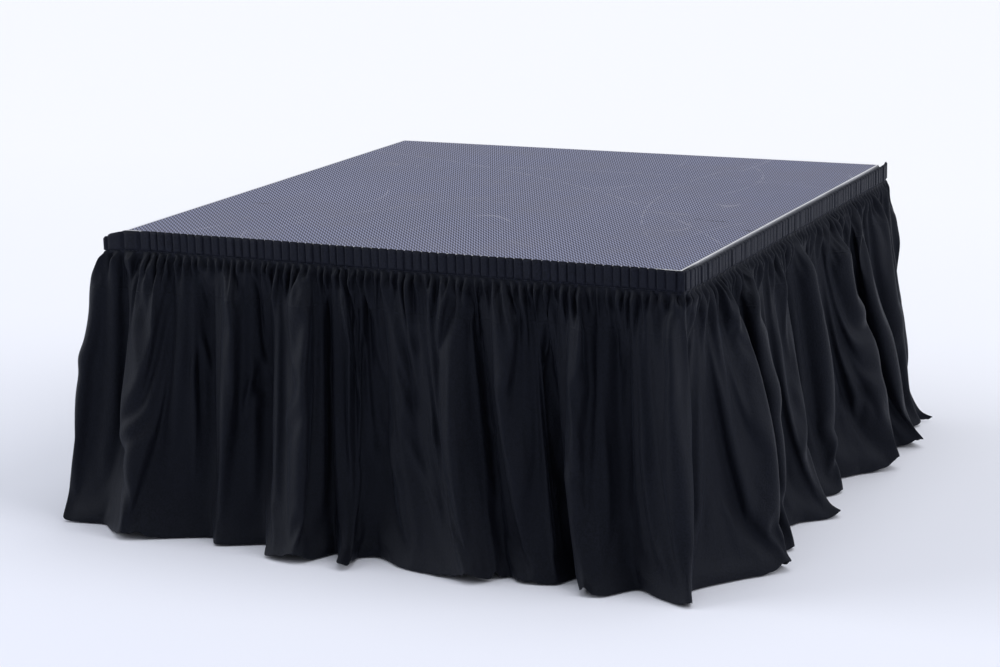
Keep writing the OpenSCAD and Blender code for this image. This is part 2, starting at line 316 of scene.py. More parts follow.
def extruded_aluminium(name, along):
    """Mill-finished extrusion: die lines along its length, dull patches, small knocks, and a painted
    highlight on the faces that look up.
    """
    look = Look(name, roughness=0.38, metallic=1.0)
    stretch = tuple(0.02 if axis == along else 1.0 for axis in range(3))
    lines = look.noise(420, detail=2, stretch=stretch)
    cloudy = look.noise(7, detail=4)
    tone = look.mix(lines, (0.62, 0.63, 0.66), (0.80, 0.81, 0.84))
    dulled = look.mix(look.ramp(cloudy, 0.5, 0.8, 0.0, 0.5), tone, (0.50, 0.51, 0.54))
    # Painted highlight: faces that look up are painted paler and made less metallic, so that the rails' top
    # edge shows bright
    painted_top_highlight = look.ramp(look.facing(2), 0.8, 0.95)
    look.colour(look.mix(painted_top_highlight, dulled, look.mix(lines, (0.84, 0.85, 0.88), (0.94, 0.945, 0.96))))
    look.feed(look.shader.inputs["Metallic"], look.ramp(painted_top_highlight, 0.0, 1.0, 1.0, 0.40))
    look.roughness(look.ramp(cloudy, 0.3, 0.7, 0.28, 0.46))
    knocks = look.ramp(look.noise(55, detail=2), 0.68, 0.8)
    look.bump((lines, 0.06 * MM), (knocks, 0.25 * MM))
    return look.made


def cast_aluminium():
    """Sand-cast aluminium, tumbled: a pitted skin with darker hollows."""
    look = Look("cast_aluminium_tumbled", roughness=0.5, metallic=1.0)
    skin = look.noise(330, detail=5, rough=0.7)
    cloudy = look.noise(24, detail=4)
    tone = look.mix(skin, (0.42, 0.43, 0.45), (0.66, 0.67, 0.69))
    look.colour(look.mix(look.ramp(cloudy, 0.4, 0.8, 0.0, 0.5), tone, (0.36, 0.37, 0.39)))
    look.roughness(look.ramp(skin, 0.3, 0.7, 0.42, 0.62))
    look.bump((skin, 0.35 * MM), (look.cells(260), 0.12 * MM))
    return look.made


def drawn_tube():
    """Drawn aluminium tube: fine lines along the leg, and worn rings where it slides."""
    look = Look("drawn_aluminium_tube", roughness=0.3, metallic=1.0)
    _, _, z = look.axes()
    lines = look.noise(900, detail=2, stretch=(1, 1, 0.015))
    rubs = look.noise(3.0, detail=3, stretch=(0.2, 0.2, 6))
    tone = look.mix(lines, (0.66, 0.67, 0.70), (0.82, 0.83, 0.86))
    look.colour(look.mix(look.ramp(rubs, 0.55, 0.75, 0.0, 0.4), tone, (0.48, 0.49, 0.52)))
    look.roughness(look.ramp(rubs, 0.35, 0.7, 0.24, 0.42))
    look.bump((lines, 0.04 * MM), (look.wave(z, 0.8 * MM), 0.01 * MM))
    return look.made


def zinc_steel():
    """Bright zinc plating, slightly blue and blotched, duller in the recesses."""
    look = Look("zinc_plated_steel", roughness=0.34, metallic=1.0)
    blotch = look.noise(70, detail=4)
    fine = look.noise(800, detail=3)
    tone = look.mix(blotch, (0.52, 0.55, 0.60), (0.70, 0.71, 0.70))
    look.colour(look.mix(look.ramp(fine, 0.6, 0.9, 0.0, 0.5), tone, (0.40, 0.41, 0.43)))
    look.roughness(look.ramp(blotch, 0.3, 0.7, 0.26, 0.44))
    look.bump((fine, 0.05 * MM), (blotch, 0.1 * MM))
    return look.made


def moulded_nylon():
    """Black glass-filled nylon with a spark-eroded skin and greyed high spots."""
    look = Look("moulded_black_nylon", roughness=0.5, specular=0.4)
    skin = look.noise(900, detail=4, rough=0.7)
    handled = look.noise(40, detail=3)
    tone = look.mix(skin, (0.012, 0.012, 0.013), (0.024, 0.024, 0.026))
    look.colour(look.mix(look.ramp(handled, 0.5, 0.8, 0.0, 0.5), tone, (0.040, 0.040, 0.043)))
    look.roughness(look.ramp(handled, 0.3, 0.7, 0.38, 0.56))
    look.bump((skin, 0.12 * MM), (handled, 0.1 * MM))
    return look.made


def foot_rubber():
    """Black rubber, matt, with floor dust on its lower edge."""
    look = Look("foot_black_rubber", roughness=0.8, specular=0.3)
    _, _, z = look.axes()
    skin = look.noise(600, detail=4)
    low = look.ramp(z, 0.0, 0.006, 0.7, 0.0)
    dust = look.math("MULTIPLY", low, look.noise(120, detail=4))
    tone = look.mix(skin, (0.010, 0.010, 0.010), (0.020, 0.020, 0.020))
    look.colour(look.mix(dust, tone, (0.14, 0.135, 0.13)))
    look.roughness(look.ramp(skin, 0.3, 0.7, 0.70, 0.88))
    look.bump((skin, 0.2 * MM), (look.cells(300), 0.08 * MM))
    return look.made


def tape(name, rows, depth):
    """Black fastening tape: rows of hooks or a mat of loops on a woven ground."""
    look = Look(name, roughness=0.75, specular=0.3)
    x, y, z = look.axes()
    along = look.wave(look.math("ADD", x, y), rows)
    up = look.wave(z, rows)
    knots = look.ramp(look.math("MULTIPLY", along, up), -0.5, 1.0)
    fuzz = look.noise(1200, detail=3)
    tone = look.mix(knots, (0.006, 0.006, 0.007), (0.026, 0.026, 0.030))
    look.colour(look.mix(look.ramp(fuzz, 0.5, 0.9, 0.0, 0.5), tone, (0.034, 0.034, 0.038)))
    look.sheen(0.3, 0.5, (0.6, 0.65, 0.8))
    look.bump((knots, depth), (fuzz, 0.2 * MM))
    return look.made


THREAD_PITCH = 0.9 * MM
CREASE_DROP = 66 * MM

# The cloth's colours: in the crepe's hollows (painted shade, darker than the cloth), on its crowns, and where
# it has faded
SKIRT_SHADES = ((0.0003, 0.0003, 0.0009), (0.0045, 0.0048, 0.0088), (0.0021, 0.0022, 0.0046))
BLUE_GLOSS = (0.70, 0.79, 1.0, 1)


def skirt_cloth(name, depth=1.0, tone=1.0):
    """Black polyester with a blue cast: plain weave, crepe grain with painted shade in its hollows, sheen,
    and one pressed storage crease.
    """
    look = Look(name, roughness=0.53, specular=0.20)
    look.shader.inputs["Specular Tint"].default_value = BLUE_GLOSS
    x, y, z = look.axes()
    warp = look.wave(look.math("ADD", x, y), THREAD_PITCH)
    weft = look.wave(z, THREAD_PITCH)
    weave = look.ramp(look.math("MULTIPLY", warp, weft), -1.0, 1.0)
    crepe = look.noise(260, detail=3, rough=0.7)
    cloudy = look.noise(11, detail=4)
    hollow, crown, faded = (tuple(tone * part for part in shade) for shade in SKIRT_SHADES)
    # Painted shade: where the crepe's bump is low its hollows are painted near black, against its crowns
    base = look.mix(look.ramp(crepe, 0.42, 0.58), hollow, crown)
    look.colour(look.mix(look.ramp(cloudy, 0.35, 0.75, 0.0, 0.6), base, faded))
    look.roughness(look.ramp(crepe, 0.3, 0.7, 0.48, 0.62))
    look.sheen(0.05, 0.40, (0.50, 0.60, 0.85))
    sag = look.math("MULTIPLY", look.noise(3, detail=1), 0.012)
    level = look.math("ADD", z, sag)
    off = look.math("ABSOLUTE", look.math("SUBTRACT", level, HEADER_FOOT - CREASE_DROP))
    crease = look.ramp(off, 0.0, 2.5 * MM, 1.0, 0.0)
    look.bump((weave, 0.10 * MM), (crepe, 0.9 * MM * depth), (crease, 0.5 * MM * depth))
    return look.made


def sewing_thread():
    """Twisted black polyester thread, a little brighter than the cloth."""
    look = Look("sewing_thread", roughness=0.5, specular=0.4)
    x, y, z = look.axes()
    twist = look.wave(look.math("ADD", look.math("ADD", x, y), z), 0.6 * MM)
    tone = look.ramp(twist, -1.0, 1.0)
    look.colour(look.mix(tone, (0.014, 0.017, 0.024), (0.034, 0.040, 0.055)))
    look.sheen(0.4, 0.4, (0.6, 0.7, 0.9))
    look.bump((tone, 0.1 * MM), (look.noise(1500), 0.05 * MM))
    return look.made


def finish_cad_nodes():
    """Gives every CAD node that stays in view its material."""
    by_start = {
        "deck_panel": anti_slip_panel(),
        "rail_front": extruded_aluminium("extruded_along_x", 0),
        "rail_right": extruded_aluminium("extruded_along_y", 1),
        "corner_socket": cast_aluminium(),
        "leg_tube": drawn_tube(),
        "joist_brackets": zinc_steel(),
        "socket_knob": moulded_nylon(),
        "foot_pad": foot_rubber(),
        "hook_tape": tape("hook_tape_black", 1.6 * MM, 0.6 * MM),
        "loop_tape": tape("loop_tape_black", 0.9 * MM, 0.4 * MM),
    }
    same = {
        "rail_back": "rail_front", "rail_left": "rail_right",
        "joist_left": "rail_right", "joist_right": "rail_right",
        "leg_collar": "corner_socket", "leg_inner": "leg_tube",
        "socket_bolts": "joist_brackets", "bracket_bolts": "joist_brackets",
        "lock_nut": "joist_brackets", "foot_spindle": "joist_brackets",
        "leg_plug": "socket_knob", "collar_knob": "socket_knob",
    }
    starts = {**{start: start for start in by_start}, **same}
    for name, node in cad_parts.items():
        found = [start for start in starts if name.startswith(start)]
        if not found:
            continue
        material = by_start[starts[max(found, key=len)]]
        for slot in node.material_slots:
            slot.material = material


# ---------------------------------------------------------------- where the skirt runs

# The skirt is one gathered length. It starts at the back right corner, and goes round the back, the left,
# the front and the right, where its free end stands past that same corner.
ORDER = (2, 3, 0, 1)
END_PAST = 38 * MM
RUN = 4 * SIDE + END_PAST
PLEATS = 270
PITCH = RUN / PLEATS

# It turns each corner over this length, and stands off in a small loop at the front left one
TURN = 30 * MM
LOOP_AT = 2 * SIDE
LOOP_REACH = 62 * MM
LOOP_OUT = (-44 * MM, -4 * MM)


def outline(s, out):
    """Places (x, y) and outward directions at distances s along the run, out from the rails' faces."""
    s = np.asarray(s, float)
    leg = np.clip(np.floor(s / SIDE), 0, 3).astype(int)
    along = s - leg * SIDE - HALF
    at_corner = np.clip((np.abs(along) - (HALF - TURN)) / TURN, 0, 1)
    open_end = ((leg == 0) & (along < 0)) | ((leg == 3) & (along > 0))
    turned = np.where(open_end, 0, at_corner * np.sign(along) * math.pi / 4)
    facing = np.array(ORDER)[leg] * math.pi / 2
    nx, ny = np.sin(facing + turned), -np.cos(facing + turned)
    x = along * np.cos(facing) + HALF * np.sin(facing) + nx * out
    y = along * np.sin(facing) - HALF * np.cos(facing) + ny * out
    near = np.clip(1 - np.abs(s - LOOP_AT) / LOOP_REACH, 0, 1)
    loop = eased(near, 0, 1)
    return x + LOOP_OUT[0] * loop, y + LOOP_OUT[1] * loop, nx, ny


# Height in mm of the header's top against the CAD's, at places along the run: it creeps up and down
HEADER_RISE = (
    (0, -2.0), (SIDE, -2.0), (2 * SIDE - 0.06, -2.5), (2 * SIDE - 0.03, -7.0), (2 * SIDE - 0.012, -17.0),
    (2 * SIDE, -15.0), (2 * SIDE + 0.012, -5.0), (2 * SIDE + 0.028, 2.5), (2 * SIDE + 0.06, 4.8),
    (3 * SIDE - 0.08, 4.9), (3 * SIDE, 2.0), (3 * SIDE + 0.08, -2.4), (4 * SIDE - 0.05, -2.8),
    (4 * SIDE + 0.02, -1.0), (RUN - 0.006, 0.0), (RUN, 5.0),
)


FOOT_STAYS = 0.8


def foot_share(drop):
    """How much of the top's rise a place below it takes: the foot follows only a little."""
    return 1 - FOOT_STAYS * np.clip(drop / (HEADER_TOP - HEADER_FOOT), 0, 1)


def header_rise(s):
    """The rise at distances s along the run, with a slight ripple."""
    places, rises = zip(*HEADER_RISE)
    ripple = np.sin(s * 21.0) * 0.25 + np.sin(s * 7.3 + 1.0) * 0.35
    return (np.interp(s, places, rises) + ripple) * MM


# ---------------------------------------------------------------- the header band

# How far round a pleat its columns stand, and how many mm below the top its rows lie
PLEAT_COLUMNS = (0.0, 0.05, 0.12, 0.28, 0.5, 0.72, 0.88, 0.95)
HEADER_ROWS = (0.0, 1.2, 3.0, 8.0, 16.0, 25.0, 31.0, 34.5, 36.3, 37.7, 38.5, 39.3, 41.0, 43.0, 44.0)
HEADER_TALL = 44
SEAM_AT = 38.5
SEAM_DEEP = 0.7 * MM
SEAM_WIDE = 0.9

# A pleat fills out over its first rows, and flattens into the band over the last ones before this drop
FULL_BY = 3.0
FLAT_BY = 38.0
FLATTENS = 3.5
PLEAT_RISE = 3.4 * MM
PLEAT_TILT = 1.6 * MM
BAND_OUT = 6.6 * MM

# The groove between two pleats, as a share of the pitch, and how far the top edge dips there
GROOVE = 0.07
SCALLOP = 2.6 * MM

# How uneven the pleats are: width, height and tilt
PLEAT_WIDTHS = (0.88, 1.12)
PLEAT_HEIGHTS = (0.7, 1.2)
PLEAT_TILTS = (-1.0, 1.6)


def header_columns(rng):
    """Distance along the run, place within its pleat, and the pleat's height and tilt, for every column."""
    edges = [0.0]
    for _ in range(PLEATS):
        edges.append(edges[-1] + rng.uniform(*PLEAT_WIDTHS))
    edges = np.array(edges) * RUN / edges[-1]
    columns = []
    for k in range(PLEATS):
        tall = rng.uniform(*PLEAT_HEIGHTS)
        tilt = rng.uniform(*PLEAT_TILTS)
        for f in PLEAT_COLUMNS:
            columns.append((edges[k] + f * (edges[k + 1] - edges[k]), f, tall, tilt))
    columns.append((RUN, 0.0, 1.0, 0.0))
    return np.array(columns).T


def header_section(f, tall, tilt):
    """One column's rows, up the back, over the top and down the face, as (out, drop below the top)."""
    level = 0 * f
    groove = np.exp(-((np.minimum(f, 1 - f) / GROOVE) ** 2))
    crown = (1 - groove) * tall * (PLEAT_RISE + PLEAT_TILT * tilt * (f - 0.5))
    scallop = SCALLOP * groove
    back = HEADER_BACK + 0.1 * MM + level
    rows = [(back, drop * MM + level) for drop in (HEADER_TALL, HEADER_TALL / 2)]
    rows.append((back, 2.5 * MM + scallop))
    rows.append((back + 1.2 * MM, 0.4 * MM + scallop))
    for drop in HEADER_ROWS:
        full = np.clip(drop / FULL_BY, 0.45, 1) * np.clip((FLAT_BY - drop) / FLATTENS, 0, 1)
        seam = -SEAM_DEEP * math.exp(-(((drop - SEAM_AT) / SEAM_WIDE) ** 2))
        rows.append((BAND_OUT + crown * full + seam, drop * MM + scallop * max(0, 1 - drop / 4)))
    rows.append((back + 1.0 * MM, (HEADER_TALL + 0.3) * MM + level))
    return rows


def make_header(rng, finish):
    s, f, tall, tilt = header_columns(rng)
    rise = header_rise(s)
    rows = []
    for out, drop in header_section(f, tall, tilt):
        x, y, _, _ = outline(s, out)
        rows.append(np.stack([x, y, HEADER_TOP + rise * foot_share(drop) - drop], axis=1))
    grid = np.array(rows)
    cuts = side_cuts(s)
    pieces = []
    for k, (start, end) in enumerate(zip(cuts, cuts[1:])):
        side = SIDES[ORDER[k]]
        strip = grid[:, start:end + 1]
        piece = grid_piece(f"header_band_{side}", strip, finish, wrapped=True)
        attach(piece, "deck")
        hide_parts(f"skirt_header_{side}")
        pieces.append(piece)
    return pieces


def side_cuts(s):
    """Column numbers where the run is cut into its four sides."""
    inner = [int(np.argmin(np.abs(s - k * SIDE))) for k in (1, 2, 3)]
    return [0, *inner, len(s) - 1]


def grid_piece(name, grid, finish, wrapped=False):
    """A mesh piece from rows of points. Wrapped closes the section and its two ends."""
    rows, columns = grid.shape[:2]
    faces = []
    for r in range(rows if wrapped else rows - 1):
        below = (r + 1) % rows
        for c in range(columns - 1):
            a = r * columns + c
            b = below * columns + c
            faces.append((a, b, b + 1, a + 1))
    if wrapped:
        faces.append(tuple(r * columns for r in reversed(range(rows))))
        faces.append(tuple(r * columns + columns - 1 for r in range(rows)))
    mesh = bpy.data.meshes.new(name)
    mesh.from_pydata(grid.reshape(-1, 3).tolist(), [], faces)
    mesh.update()
    mesh.shade_smooth()
    mesh.materials.append(finish)
    piece = bpy.data.objects.new(name, mesh)
    bpy.context.scene.collection.objects.link(piece)
    return piece


# ---------------------------------------------------------------- stitches

STITCH = 3.4 * MM
STITCH_GAP = 1.0 * MM
THREAD = 0.35 * MM
TAPER = 0.12


def make_stitches(name, points, outward, finish):
    """A row of lock stitches: each a flat spindle of six points between two places on the cloth."""
    verts, faces = [], []
    for a, b, n in zip(points[:-1], points[1:], outward):
        run = b - a
        a, b = a + run * TAPER, b - run * TAPER
        up = Vector(run).cross(Vector(n)).normalized() * THREAD
        middle, out = (a + b) / 2, np.array(n) * THREAD
        first = len(verts)
        verts += [a, middle + up, middle + out * 1.6, middle - up, b, middle - out]
        for p, q in ((1, 2), (2, 3), (3, 5), (5, 1)):
            faces += [(first, first + p, first + q), (first + 4, first + q, first + p)]
    mesh = bpy.data.meshes.new(name)
    mesh.from_pydata([tuple(v) for v in verts], [], faces)
    mesh.update()
    mesh.materials.append(finish)
    piece = bpy.data.objects.new(name, mesh)
    bpy.context.scene.collection.objects.link(piece)
    return piece


def make_header_stitches(finish):
    pieces = []
    for k in range(4):
        side = SIDES[ORDER[k]]
        stop = (k + 1) * SIDE if k < 3 else RUN
        s = np.arange(k * SIDE + STITCH, stop, STITCH + STITCH_GAP)
        x, y, nx, ny = outline(s, BAND_OUT + 0.1 * MM)
        z = HEADER_TOP + header_rise(s) * foot_share(SEAM_AT * MM) - SEAM_AT * MM
        piece = make_stitches(
            f"header_stitches_{side}", np.stack([x, y, z], 1), np.stack([nx, ny, 0 * z], 1), finish
        )
        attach(piece, "deck")
        pieces.append(piece)
    return pieces


# ---------------------------------------------------------------- the gathered cloth

# Folds, left to right on each side: place along the header and place along the hem, in mm from the side's
# middle; how many mm the hem stands out; and how it swells: over 1 it stands out early, under 1 it hangs
# straight and kicks out at the floor. A far stand-out is a ridge, and a near one is a valley.
FRONT_FOLDS = (
    (-585, -645, 90, 0.9), (-555, -556, 168, 1.3), (-480, -440, 106, 1.1), (-400, -384, 84, 0.9),
    (-350, -354, 128, 0.8), (-290, -257, 80, 0.9), (-240, -223, 155, 1.1), (-190, -138, 168, 1.2),
    (-125, -97, 76, 0.8), (-98, -48, 168, 0.3), (-84, -28, 164, 0.3), (-66, -46, 84, 0.7),
    (-40, -7, 70, 0.8), (15, 60, 112, 1.2), (75, 195, 134, 0.9), (120, 232, 154, 0.9),
    (190, 282, 78, 0.8), (240, 318, 104, 1.1),
    (300, 387, 89, 1.0), (345, 417, 8, 0.8), (385, 450, 128, 0.5), (430, 492, 122, 0.6),
    (480, 538, 54, 0.7), (530, 590, 86, 0.8),
)
RIGHT_FOLDS = (
    (-560, -590, 52, 1.0), (-500, -530, 95, 1.5), (-440, -448, 166, 1.6), (-380, -390, 70, 0.9),
    (-330, -334, 130, 1.5), (-270, -250, 50, 0.9), (-200, -165, 82, 1.3), (-140, -100, 150, 0.45),
    (-80, -20, 50, 1.0), (-10, 60, 100, 1.8), (60, 133, 52, 0.9), (130, 205, 95, 1.4),
    (200, 275, 165, 1.5), (270, 340, 60, 0.9), (340, 438, 112, 1.1), (380, 455, 168, 1.0),
    (440, 540, 60, 0.9), (510, 627, 108, 0.9), (560, 655, 70, 0.6),
)
# Corners: place along the header from the corner, hem beyond this side's face and the next one's, and swell
CORNER_FOLDS = {
    1: ((-20, 118, 112, 1.6), (25, 60, 70, 1.0)),
    2: ((-30, 96, 60, 0.95), (-4, 140, 106, 1.1)),
    3: ((-24, 120, 62, 0.6), (14, 26, 26, 0.9)),
}
# Where the free end's hem stands: past the corner, out from the side, and its swell
FREE_END = (66, 116, 0.4)

# Folds of a side that no one has arranged by hand: ridges and valleys by turns, and how far they stray
GENERIC_FOLDS = 19
GENERIC_SPAN = 1140
GENERIC_FLARE = 1.09
RIDGE_OUT = 138
VALLEY_OUT = 62
STRAYS = {"out": 24, "top": 12, "hem": 22}
SWELLS = (0.5, 1.7)

# The hem's bends are rounded this much, and there is at least this much cloth for a length of header
HEM_ROUND = 7 * MM
MIN_FULLNESS = 1.45

# The cloth's length below the header, what is tucked behind it, and the grid that it is drawn as
CLOTH_DROP = 588 * MM
TUCKED = 4 * MM
HEM_CLEAR = 3 * MM
ROWS = 42
ROW_GROWTH = 1.3
COLUMNS_PER_PLEAT = 6


def generic_folds(rng):
    """Ridges and valleys by turns, for the sides that no one has arranged by hand."""
    folds = []
    for k in range(GENERIC_FOLDS):
        top = -GENERIC_SPAN / 2 + k * GENERIC_SPAN / (GENERIC_FOLDS - 1)
        out = (VALLEY_OUT if k % 2 == 0 else RIDGE_OUT) + rng.uniform(-STRAYS["out"], STRAYS["out"])
        swell = rng.uniform(*SWELLS)
        place = top + rng.uniform(-STRAYS["top"], STRAYS["top"])
        hem = top * GENERIC_FLARE + rng.uniform(-STRAYS["hem"], STRAYS["hem"])
        folds.append((place, hem, out, swell))
    return folds


def to_world(side, along, out):
    """A place beside a side, from millimetres along it and out from it."""
    a = side * math.pi / 2
    x, y = along * MM, -HALF - out * MM
    return x * math.cos(a) - y * math.sin(a), x * math.sin(a) + y * math.cos(a)


def fold_controls(rng):
    """The run's folds in order: wave number, distance along the header, hem x, hem y, and how each swells."""
    back = [(top, hem, out * eased(top, -700, -330), swell) for top, hem, out, swell in generic_folds(rng)]
    folds = {0: FRONT_FOLDS, 1: RIGHT_FOLDS, 2: back, 3: generic_folds(rng)}
    stands, controls = [12], [(0.0, *to_world(2, -HALF / MM + 8, 12), 1.0)]
    for k, side in enumerate(ORDER):
        for top, hem, out, swell in folds[side]:
            stands.append(out)
            controls.append((k * SIDE + HALF + top * MM, *to_world(side, hem, out), swell))
        if k < 3:
            for top, beyond_this, beyond_next, swell in CORNER_FOLDS[k + 1]:
                x, y = to_world(side, HALF / MM + beyond_next, beyond_this)
                stands.append(max(beyond_this, beyond_next))
                controls.append(((k + 1) * SIDE + top * MM, x, y, swell))
    past, out, swell = FREE_END
    stands.append(out)
    controls.append((RUN, *to_world(1, HALF / MM + past, out), swell))
    return np.column_stack([wave_numbers(stands), controls])


def wave_numbers(stands):
    """Whole numbers at the ridges, halves at the valleys, and places between for the folds on a slope."""
    last = len(stands) - 1
    rises = np.sign(np.diff(stands))
    turns = [0, *(k for k in range(1, last) if rises[k] != rises[k - 1]), last]
    first = 0.5 if rises[0] > 0 else 0.0
    return np.interp(range(last + 1), turns, first + 0.5 * np.arange(len(turns)))


def smooth(values, width):
    """A moving weighted mean over whole samples, with the ends held."""
    reach = max(1, int(round(width)))
    k = np.arange(-3 * reach, 3 * reach + 1)
    weights = np.exp(-0.5 * (k / reach) ** 2)
    held = np.concatenate([
        2 * values[0] - values[1:len(k) // 2 + 1][::-1],
        values,
        2 * values[-1] - values[-len(k) // 2:-1][::-1],
    ])
    return np.convolve(held, weights / weights.sum(), mode="valid")[:len(values)]


def hem_line(controls):
    """The hem on the floor, sampled: cloth distance; and wave number, header distance, x, y and swell."""
    step = 2 * MM
    samples = []
    for a, b in zip(controls[:-1], controls[1:]):
        n = max(4, int(math.hypot(b[2] - a[2], b[3] - a[3]) / step))
        samples.extend(a + (b - a) * part for part in np.arange(n) / n)
    samples.append(controls[-1])
    number, header, x, y, swell = np.array(samples).T
    x = smooth(x, HEM_ROUND / step)
    y = smooth(y, HEM_ROUND / step)
    cloth = np.maximum(np.hypot(np.diff(x), np.diff(y)), np.diff(header) * MIN_FULLNESS)
    return np.concatenate([[0], np.cumsum(cloth)]), (number, header, x, y, swell)


def eased(value, start, end):
    """0 before start, 1 after end, and a smooth rise between."""
    part = np.clip((value - start) / (end - start), 0, 1)
    return part * part * (3 - 2 * part)


def gather(fullness, cloth_pitch):
    """Half height of a fold of that much cloth, when the cloth is that many times longer than its run."""
    return cloth_pitch / fullness / 4 * np.sqrt(np.maximum(fullness ** 2 - 1, 0))


def row_drops():
    """How far down the cloth each row lies: close together under the header, and wider towards the hem."""
    return CLOTH_DROP * (np.arange(ROWS + 1) / ROWS) ** ROW_GROWTH


# Folds of three sizes are added up. Small gathers, one a pleat, fade below the header. MERGED of them at a
# time run together into joined ones, which fade further down. The large ones are the ridges and valleys
# above. Each size has a deepest half height, and drops in metres over which it comes and then goes.
SMALL_DEEPEST = 11 * MM
SMALL_COMES = (0.001, 0.018)
SMALL_AT_SEAM = 0.12
SMALL_GOES = (0.014, 0.080)

MERGED = 2.5
JOINED_DEEPEST = 10 * MM
JOINED_COMES = (0.010, 0.045)
JOINED_GOES = (0.055, 0.130)
JOINED_LASTS = 0.050

LARGE_DEEPEST = 25 * MM
LARGE_COMES = (0.008, 0.110)
LARGE_GOES = (0.50 * CLOTH_DROP, CLOTH_DROP)
LARGE_LOST = 0.9

# How uneven they are: leaning in radians, height, length, slant in radians a metre, and a joined one's share
LEAN = 1.3
UNEVEN = (1.0, 2.1)
REACH = (0.5, 1.5)
DRIFT = 1.8
JOINED_SHARE = (0.3, 1.0)
SLANT = 70

# Their sections: hollows narrower than the ridges for the small and joined ones, and for the large ones a
# slant, a tip sideways at random, and a crease
NARROW = 0.16
SLANTED = 0.35
TIPPED = 1.1
CREASED = 0.15


def strewn(rng, u, count, low, high, power=1):
    """Random values at even places along the cloth, and straight runs between them."""
    places = np.linspace(0, u[-1], count)
    return np.interp(u, places, [rng.uniform(low, high) ** power for _ in places])


def fold_shapes(rng, u, s, number):
    """A function that gives the folds' swing out and slide along, at a drop and a fullness of each column."""
    spacing = u[-1] / (len(u) - 1)
    lean = strewn(rng, u, 2 * PLEATS, -LEAN, LEAN)
    uneven = strewn(rng, u, 2 * PLEATS, *UNEVEN)
    reach = strewn(rng, u, PLEATS, *REACH, power=2)
    drift = strewn(rng, u, PLEATS // 4, -DRIFT, DRIFT)
    merged = strewn(rng, u, PLEATS // 4, *JOINED_SHARE)
    slant = strewn(rng, u, PLEATS // 4, -SLANT, SLANT)
    halves = np.arange(0, number[-1] + 1, 0.5)
    tip = smooth(np.interp(number, halves, [rng.uniform(-TIPPED, TIPPED) for _ in halves]), 20)
    small = s / PITCH * 2 * math.pi + lean
    medium = s / PITCH / MERGED * 2 * math.pi + drift
    large = number * 2 * math.pi
    small_pitch = PITCH / np.gradient(s, spacing)
    large_pitch = 1 / np.gradient(smooth(number, 8), spacing)

    def shape(drop, fullness):
        begin = SMALL_AT_SEAM + (1 - SMALL_AT_SEAM) * eased(drop, *SMALL_COMES)
        fading = 1 - eased(drop, SMALL_GOES[0], SMALL_GOES[1] * reach)
        leaving = 1 - eased(drop, JOINED_GOES[0], JOINED_GOES[1] + JOINED_LASTS * reach)
        merging = eased(drop, *JOINED_COMES) * leaving
        building = eased(drop, *LARGE_COMES) * (1 - LARGE_LOST * eased(drop, *LARGE_GOES))
        deep = np.minimum(gather(fullness, small_pitch) * uneven, SMALL_DEEPEST) * fading * begin
        joined = np.minimum(gather(fullness, small_pitch * MERGED), JOINED_DEEPEST) * merging * merged
        wide = np.minimum(gather(fullness, large_pitch), LARGE_DEEPEST) * building
        bent = slant * drop
        swing = np.cos(small + bent) * deep + np.cos(medium + bent) * joined
        swing += (np.cos(large) + CREASED * np.cos(3 * large)) * wide
        slide = NARROW * (np.sin(small + bent) * deep + np.sin(medium + bent) * joined)
        slide += (SLANTED * np.sin(large) + tip * np.cos(large)) * wide
        return swing, slide

    return shape


# How far the cloth stands from the rails under the header, and how much more it gains over these drops
STAND = 7.2 * MM
STAND_MORE = 4.8 * MM
STANDS_OFF = (0.004, 0.030)

# Drops over which the folds turn from the rails' directions to the cloth's own, and the least run that a
# length of cloth is taken to cover
TURNS = (0.02, 0.10)
LEAST_RUN = 0.3


def bare_row(drop, s, hem_x, hem_y, swell):
    """A row without its folds: places, and outward directions by the rails."""
    share = 1 - (1 - drop / CLOTH_DROP) ** swell
    x, y, nx, ny = outline(s, STAND + STAND_MORE * eased(drop, *STANDS_OFF))
    return x + (hem_x - x) * share, y + (hem_y - y) * share, nx, ny


def loft(rng):
    """The cloth hung before the simulation: its points, and the same points laid flat."""
    cloth, (number, header, hem_x, hem_y, swell) = hem_line(fold_controls(rng))
    columns = PLEATS * COLUMNS_PER_PLEAT
    u = np.linspace(0, cloth[-1], columns + 1)
    spacing = cloth[-1] / columns
    hem_x, hem_y, number, swell = (np.interp(u, cloth, v) for v in (hem_x, hem_y, number, swell))
    s = smooth(np.interp(u, cloth, header), 0.05 / spacing)
    s[0], s[-1] = 0, RUN
    swell = smooth(swell, 0.02 / spacing)
    shape = fold_shapes(rng, u, s, number)
    drops = row_drops()
    points = np.zeros((ROWS + 1, columns + 1, 3))
    flat = np.zeros_like(points)
    for r, drop in enumerate(drops):
        x, y, nx, ny = bare_row(drop, s, hem_x, hem_y, swell)
        dx, dy = np.gradient(smooth(x, 3), spacing), np.gradient(smooth(y, 3), spacing)
        length = np.hypot(dx, dy) + 1e-9
        turn = eased(drop, *TURNS)
        nx, ny = nx + (dy / length - nx) * turn, ny + (-dx / length - ny) * turn
        swing, slide = shape(drop, 1 / np.clip(smooth(np.hypot(dx, dy), 5), LEAST_RUN, 1))
        points[r, :, 0] = x + nx * swing - ny * slide
        points[r, :, 1] = y + ny * swing + nx * slide
        flat[r, :, 0] = u
        flat[r, :, 2] = -drop
    hang(points, drops, s)
    crumple(points, drops, u, rng)
    return points, flat


# Wrinkles: how many, how far down, slant in radians, and length, width and height in metres
WRINKLES = 220
WRINKLE_DOWN = (0.13, 0.50)
WRINKLE_SLANT = 0.75
WRINKLE_LONG = (0.030, 0.075)
WRINKLE_WIDE = (0.008, 0.016)
WRINKLE_TALL = (0.004, 0.010)
WRINKLE_REACH = 0.2


